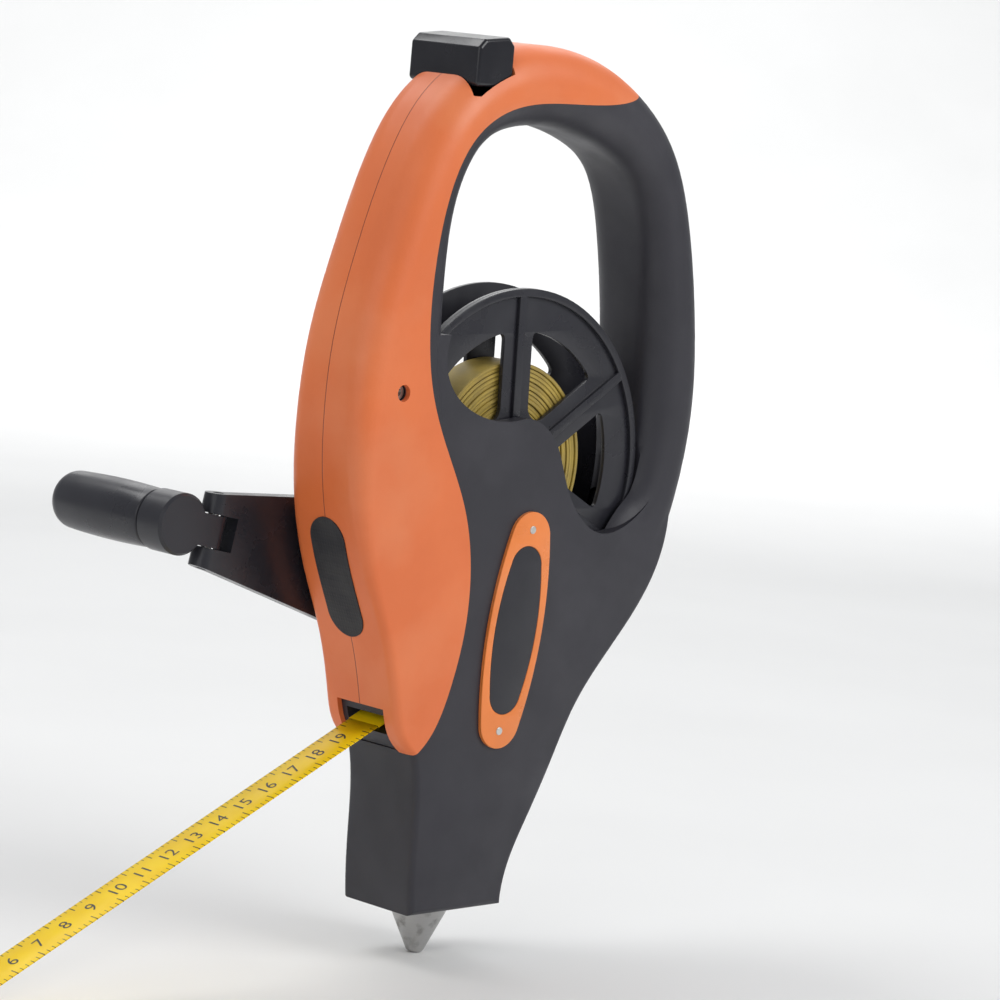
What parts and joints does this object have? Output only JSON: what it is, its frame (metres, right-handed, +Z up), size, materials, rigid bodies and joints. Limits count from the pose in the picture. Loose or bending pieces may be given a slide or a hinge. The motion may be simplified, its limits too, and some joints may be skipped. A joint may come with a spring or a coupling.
{
  "type": "surveyor tape reel",
  "caption": "Open long-tape reel with a D-shaped handle, geared folding crank, windowed spool and a ground spike, its flat tape pulled out of the mouth.",
  "frame": {"origin": "on the spike's axis in the plane of the leg's sole, where the reel stands on the ground with its spike pushed in", "axes": "+Z up through the handle, -X to the front where the tape leaves, +Y to the crank side"},
  "size_m": [0.3357, 0.0939, 0.2799],
  "materials": {
    "black_plastic": "fine moulded texture",
    "orange_plastic": "satin moulded",
    "black_gloss": "gloss",
    "white_acetal": "natural acetal",
    "rubber": "matt",
    "tape": "coated fibreglass, satin",
    "steel": "turned",
    "zinc": "plated"
  },
  "bodies": {
    "root": {"frame_near": "black_plastic", "frame_far": "black_plastic", "guard_near": "orange_plastic", "guard_far": "orange_plastic", "front_pad": "rubber", "badge_plate": "orange_plastic", "badge_inlay": "black_gloss", "badge_pins": "zinc", "button_spring": "steel", "spool_axle": "steel", "tape_lead": "tape", "tape_blade": "tape", "end_clamp": "zinc", "roller_pin": "steel", "crank_bush": "steel", "spike": "steel", "frame_screws": "zinc", "front_screw": "zinc"},
    "button": {"thumb_button": "black_gloss", "lock_rod": "white_acetal", "lock_pad": "rubber"},
    "spool": {"spool_flange_near": "black_plastic", "spool_flange_far": "black_plastic", "spool_core": "black_plastic", "spool_pinion": "white_acetal", "tape_coil": "tape"},
    "roller": {"guide_roller": "white_acetal"},
    "crank": {"drive_gear": "white_acetal", "crank_arm": "black_plastic", "crank_screw": "zinc", "crank_cap": "black_gloss", "hinge_pin": "steel"},
    "knuckle": {"grip_knuckle": "black_plastic"},
    "grip": {"crank_grip": "black_plastic"},
    "tape_end": {"end_ring": "steel"}
  },
  "joints": [
    {"name": "spool_spin", "type": "hinge", "parent": "root", "child": "spool", "pos_m": [0.014, 0, 0.135], "axis": [0, 1, 0], "continuous": true},
    {"name": "crank_spin", "type": "hinge", "parent": "root", "child": "crank", "pos_m": [0.014, 0.02, 0.095], "axis": [0, 1, 0], "continuous": true},
    {"name": "grip_fold", "type": "hinge", "parent": "crank", "child": "knuckle", "pos_m": [-0.07811, 0.022, 0.11374], "axis": [-0.1994, 0, -0.9799], "range_deg": [0, 90]},
    {"name": "grip_spin", "type": "hinge", "parent": "knuckle", "child": "grip", "pos_m": [-0.09183, 0.05, 0.11653], "axis": [0, 1, 0], "continuous": true},
    {"name": "thumb_press", "type": "slide", "parent": "root", "child": "button", "axis": [0, 0, -1], "range_m": [0, 0.0025], "stiffness_N_per_m": 400, "springref_m": -0.001, "deforming": ["button_spring"]},
    {"name": "roller_spin", "type": "hinge", "parent": "root", "child": "roller", "pos_m": [-0.01911, 0, 0.0673], "axis": [0, 1, 0], "continuous": true},
    {"name": "ring_swing", "type": "hinge", "parent": "root", "child": "tape_end", "pos_m": [-0.22417, 0, -0.0142], "axis": [0, 1, 0], "range_deg": [0, 120]}
  ],
  "couplings": [
    {"joint": "crank_spin", "follows": "spool_spin", "ratio": -0.33333}
  ]
}
